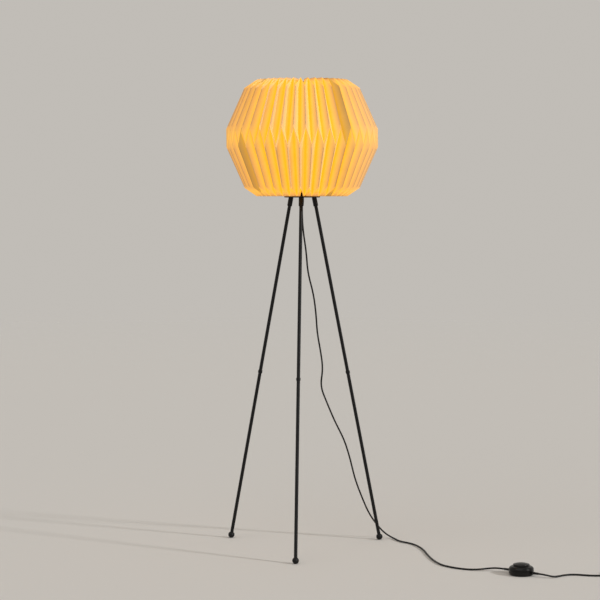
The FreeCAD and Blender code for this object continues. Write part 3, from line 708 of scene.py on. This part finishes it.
# ---------------------------------------------------------------- threads
def make_thread(name, node, material):
    """Two strands twisted round each other, in a circle through the pleats."""
    circle = sizes().thread_circle
    strand = sizes().thread_strand
    steps = 10 * THREAD_TWISTS
    low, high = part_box(node)
    middle = (low.z + high.z) / 2
    curve = bpy.data.curves.new(name, "CURVE")
    curve.dimensions = "3D"
    curve.bevel_depth = strand
    curve.bevel_resolution = 1
    for side in (0, math.pi):
        spline = curve.splines.new("POLY")
        spline.points.add(steps - 1)
        spline.use_cyclic_u = True
        for i, point in enumerate(spline.points):
            turn = 2 * math.pi * i / steps
            twist = THREAD_TWISTS * turn + side
            radius = circle + strand * math.cos(twist)
            height = middle + strand * math.sin(twist)
            point.co = (radius * math.cos(turn), radius * math.sin(turn), height, 1)
    made = bpy.data.objects.new(name, curve)
    bpy.context.scene.collection.objects.link(made)
    only(made)
    bpy.ops.object.convert(target="MESH")
    thread = bpy.context.object
    bpy.ops.object.shade_smooth()
    dress(thread, material, "shade", "thread", node)


# ---------------------------------------------------------------- lead
def sleeve_end(side):
    """End of the switch's sleeve: side is 1 where the lead leaves and -1 where it comes in."""
    reach = side * SWITCH_REACH
    return SWITCH_PLACE + Vector((reach * math.cos(SWITCH_TURN), reach * math.sin(SWITCH_TURN), 0))


def at_coil(x, y, z):
    """A point of the coil in the lamp's frame."""
    return COIL_PLACE + Matrix.Rotation(COIL_TURN, 3, "Z") @ Vector((x, y, z))


def coil_points():
    """Half turns that spiral in, climb once and spiral out on top, then a straight end."""
    outward = 1 / (0.75 + 0.25 * math.cos(math.pi / COIL_POINTS))
    inmost = COIL_RADIUS - COIL_IN * COIL_PITCH / 2
    radii = [COIL_RADIUS - i * COIL_PITCH / 2 for i in range(COIL_IN + 1)]
    radii += [inmost + i * COIL_PITCH / 2 for i in range(COIL_OUT + 1)]
    points = []
    for turn in range(COIL_IN + COIL_OUT + 1):
        side = (-1) ** turn
        middle = side * (radii[turn] - radii[turn + 1]) / 2
        radius = (radii[turn] + radii[turn + 1]) / 2 * outward
        for step in range(COIL_POINTS):
            share = (step + 0.5) / COIL_POINTS
            climb = 0.0 if turn < COIL_IN else 1.0
            if turn == COIL_IN:
                climb = share * share * (3 - 2 * share)
            x = middle + side * radius * math.cos(math.pi * share)
            y = side * radius * math.sin(math.pi * share)
            points.append(at_coil(x, y, COIL_HEIGHT + climb * COIL_LAYER))
    end = radii[-1]
    top = COIL_HEIGHT + COIL_LAYER
    return points + [at_coil(end, share * COIL_TAIL, top) for share in (0.3, 0.65, 1.0)]


def make_cord(name, points, material):
    """A round cord along a smooth line with these control points."""
    curve = bpy.data.curves.new(name, "CURVE")
    curve.dimensions = "3D"
    curve.bevel_depth = sizes().lead / 2
    curve.bevel_resolution = 4
    curve.resolution_u = 8
    spline = curve.splines.new("NURBS")
    spline.points.add(len(points) - 1)
    for point, place in zip(spline.points, points):
        point.co = (*place, 1)
    spline.order_u = 3
    spline.use_endpoint_u = True
    cord = bpy.data.objects.new(name, curve)
    bpy.context.scene.collection.objects.link(cord)
    curve.materials.append(material)
    return cord


def make_lead():
    """Both stretches of the lead, in place of the CAD nodes of the lead."""
    sheath = sheath_finish()
    first = make_cord("lead_to_switch", LAMP_TO_SWITCH + [sleeve_end(-1)], sheath)
    second = make_cord("lead_to_plug", [sleeve_end(1)] + SWITCH_TO_COIL + coil_points(), sheath)
    for cord, nodes in (
        (first, ["lead_lamp_to_switch"]),
        (second, ["lead_switch_to_coil", "lead_coil"]),
    ):
        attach(cord, "stand")
        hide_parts(*nodes)
    finish_nodes(sheath, ["inner_lead"])


def make_strap():
    """Band round the coil's turns: a block, rounded off and opened through its sides."""
    low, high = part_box("coil_tie")
    given = sizes()
    width = given.strap_width
    room = given.lead / 2 + STRAP_PLAY + given.strap_thickness
    outer = -COIL_RADIUS + COIL_PITCH / 2 - room
    inner = -COIL_RADIUS + COIL_IN * COIL_PITCH / 2 + room
    strap = start_piece(
        "coil_strap", bpy.ops.mesh.primitive_cube_add, size=1,
        location=((outer + inner) / 2, 0, (high.z + low.z) / 2),
        scale=(inner - outer, width, high.z - low.z),
    )
    edit(strap)
    pick("EDGE", lambda edge: abs((edge.verts[0].co - edge.verts[1].co).y) > width / 2)
    bpy.ops.mesh.bevel(offset=STRAP_CORNER, segments=6, profile=0.5)
    pick("FACE", lambda face: abs(face.normal.y) > 0.9)
    bpy.ops.mesh.inset(thickness=given.strap_thickness)
    bpy.ops.mesh.bridge_edge_loops()
    bpy.ops.mesh.select_all(action="SELECT")
    bpy.ops.mesh.normals_make_consistent(inside=False)
    leave_edit()
    apply_modifier(strap, "BEVEL", width=STRAP_EDGE, segments=2, angle_limit=math.radians(50))
    strap.data.transform(Matrix.Translation(COIL_PLACE) @ Matrix.Rotation(COIL_TURN, 4, "Z"))
    only(strap)
    bpy.ops.object.shade_smooth_by_angle(angle=math.radians(35))
    dress(strap, strap_finish(), "stand", "black_plastic", "coil_tie")


# ---------------------------------------------------------------- studio
def add_sun(name, azimuth, elevation, angle, strength):
    """An even light from one side."""
    data = bpy.data.lights.new(name, "SUN")
    data.angle = math.radians(angle)
    data.energy = strength
    lamp = bpy.data.objects.new(name, data)
    bpy.context.scene.collection.objects.link(lamp)
    a, e = math.radians(azimuth), math.radians(elevation)
    back = Vector((math.sin(a) * math.cos(e), -math.cos(a) * math.cos(e), math.sin(e)))
    lamp.rotation_euler = back.to_track_quat("Z", "Y").to_euler()


def make_background():
    """A plain background at full strength, which lights the lamp with only a share of it."""
    world = bpy.data.worlds.new("pale_background")
    bpy.context.scene.world = world
    world.use_nodes = True
    finish = Finish("background", world.node_tree)
    path = finish.node("ShaderNodeLightPath")
    rays = ("Is Camera Ray", "Is Glossy Ray", "Is Transmission Ray")
    camera, glossy, through = [Value(finish, path.outputs[name]) for name in rays]
    direct = (camera + glossy + through).sum("MINIMUM", 1.0)
    background = world.node_tree.nodes["Background"]
    finish.feed(background.inputs["Color"], tuple(colours().backdrop))
    finish.feed(background.inputs["Strength"], direct * (1 - AMBIENT) + AMBIENT)


def make_floor():
    """A large round floor with a smaller face in its middle."""
    floor = start_piece(
        "floor", bpy.ops.mesh.primitive_circle_add, vertices=96, radius=FLOOR_RADIUS,
        fill_type="NGON", location=(0, 0, -FLOOR_GAP),
    )
    edit(floor)
    bpy.ops.mesh.select_all(action="SELECT")
    bpy.ops.mesh.inset(thickness=FLOOR_RADIUS - FLOOR_CORE)
    leave_edit()
    floor.data.materials.append(floor_finish())


def make_camera():
    """The camera where the photograph was taken."""
    data = bpy.data.cameras.new("camera")
    data.sensor_width = 36
    data.lens = CAMERA_LENS
    camera = bpy.data.objects.new("camera", data)
    bpy.context.scene.collection.objects.link(camera)
    camera.location = (
        CAMERA_DISTANCE * math.sin(CAMERA_AZIMUTH),
        -CAMERA_DISTANCE * math.cos(CAMERA_AZIMUTH),
        CAMERA_HEIGHT,
    )
    camera.rotation_euler = (math.pi / 2 - CAMERA_PITCH, 0, CAMERA_AZIMUTH + CAMERA_TURN)
    bpy.context.scene.camera = camera


# ---------------------------------------------------------------- operators
class AddStage(bpy.types.Operator):
    """Camera, soft lights, background and floor"""

    bl_idname = "floor_lamp.add_stage"
    bl_label = "Stage"
    bl_options = {"REGISTER", "UNDO"}

    def execute(self, context):
        context.scene.view_settings.view_transform = "Standard"
        make_camera()
        make_background()
        add_sun("key", **KEY)
        add_sun("fill", **FILL)
        make_floor()
        return {"FINISHED"}


class AddLead(bpy.types.Operator):
    """The lead in its two stretches, with its put-away coil"""

    bl_idname = "floor_lamp.add_lead"
    bl_label = "Lead"
    bl_options = {"REGISTER", "UNDO"}

    def execute(self, context):
        make_strap()
        make_lead()
        return {"FINISHED"}


class AddShade(bpy.types.Operator):
    """Four folded sheets of paper, glued into a lantern"""

    bl_idname = "floor_lamp.add_shade"
    bl_label = "Paper shade"
    bl_options = {"REGISTER", "UNDO"}

    def execute(self, context):
        make_shade()
        return {"FINISHED"}


class AddThreads(bpy.types.Operator):
    """Threads that gather the pleats at the two holes"""

    bl_idname = "floor_lamp.add_threads"
    bl_label = "Threads"
    bl_options = {"REGISTER", "UNDO"}

    def execute(self, context):
        material = thread_finish()
        make_thread("gathering_thread_top", "shade_thread_top", material)
        make_thread("gathering_thread_bottom", "shade_thread_bottom", material)
        return {"FINISHED"}


class FinishStand(bpy.types.Operator):
    """Powder coat on plate, legs, feet, cage and disc"""

    bl_idname = "floor_lamp.finish_stand"
    bl_label = "Stand and cage"
    bl_options = {"REGISTER", "UNDO"}

    def execute(self, context):
        finish_nodes(coat_finish(), nodes_in_slot("black_metal"))
        return {"FINISHED"}


class FinishHolder(bpy.types.Operator):
    """Lamp holder: plastic sleeve, ceramic insert, nipple and contacts"""

    bl_idname = "floor_lamp.finish_holder"
    bl_label = "Lamp holder"
    bl_options = {"REGISTER", "UNDO"}

    def execute(self, context):
        tints = colours()
        ivory = pale_finish("ivory_plastic", tuple(tints.ivory), 0.35, 0.0012)
        ceramic = pale_finish("ceramic", tuple(tints.ceramic), 0.6, 0.0006)
        finish_nodes(ivory, nodes_in_slot("ivory_plastic"))
        finish_nodes(ceramic, nodes_in_slot("ceramic"))
        finish_nodes(metal_finish("brass", tuple(tints.brass), 0.25), nodes_in_slot("brass"))
        finish_nodes(metal_finish("nickel", tuple(tints.plate), 0.2), nodes_in_slot("plated_metal"))
        return {"FINISHED"}


class FinishBulb(bpy.types.Operator):
    """Lit bulb"""

    bl_idname = "floor_lamp.finish_bulb"
    bl_label = "Bulb"
    bl_options = {"REGISTER", "UNDO"}

    def execute(self, context):
        finish_nodes(bulb_finish(), nodes_in_slot("bulb_glass"))
        return {"FINISHED"}


class FinishPlastic(bpy.types.Operator):
    """Foot switch, plug, gland and sleeves in black plastic"""

    bl_idname = "floor_lamp.finish_plastic"
    bl_label = "Switch, gland and plug"
    bl_options = {"REGISTER", "UNDO"}

    def execute(self, context):
        shiny = ["switch_base", "switch_cover", "switch_button"]
        replaced = ["coil_tie"]
        plain = [name for name in nodes_in_slot("black_plastic") if name not in shiny + replaced]
        finish_nodes(gloss_finish("black_gloss", 0.002, 0.1), shiny)
        finish_nodes(gloss_finish("black_grained", 0.0008, 0.38), plain)
        return {"FINISHED"}


class LampPanel(bpy.types.Panel):
    """Steps, sizes and colours of the floor lamp"""

    bl_idname = "VIEW3D_PT_floor_lamp"
    bl_label = "Floor lamp"
    bl_space_type = "VIEW_3D"
    bl_region_type = "UI"
    bl_category = "Floor lamp"

    def draw(self, context):
        column = self.layout.column(align=True)
        for step in STEPS:
            column.operator(step.bl_idname)
        for group in (context.scene.lamp_sizes, context.scene.lamp_colours):
            box = self.layout.box()
            for name in group.bl_rna.properties.keys():
                if name not in ("rna_type", "name"):
                    box.prop(group, name)


STEPS = (
    AddStage, AddLead, AddShade, AddThreads, FinishStand, FinishHolder, FinishBulb, FinishPlastic,
)
CLASSES = (LampSizes, LampColours) + STEPS + (LampPanel,)


def register():
    for cls in CLASSES:
        bpy.utils.register_class(cls)
    bpy.types.Scene.lamp_sizes = bpy.props.PointerProperty(type=LampSizes)
    bpy.types.Scene.lamp_colours = bpy.props.PointerProperty(type=LampColours)


def unregister():
    del bpy.types.Scene.lamp_colours
    del bpy.types.Scene.lamp_sizes
    for cls in reversed(CLASSES):
        bpy.utils.unregister_class(cls)


def main():
    register()
    bpy.ops.floor_lamp.add_stage()
    bpy.ops.floor_lamp.add_lead()
    bpy.ops.floor_lamp.add_shade()
    bpy.ops.floor_lamp.add_threads()
    bpy.ops.floor_lamp.finish_stand()
    bpy.ops.floor_lamp.finish_holder()
    bpy.ops.floor_lamp.finish_bulb()
    bpy.ops.floor_lamp.finish_plastic()


if __name__ == "__main__":
    main()
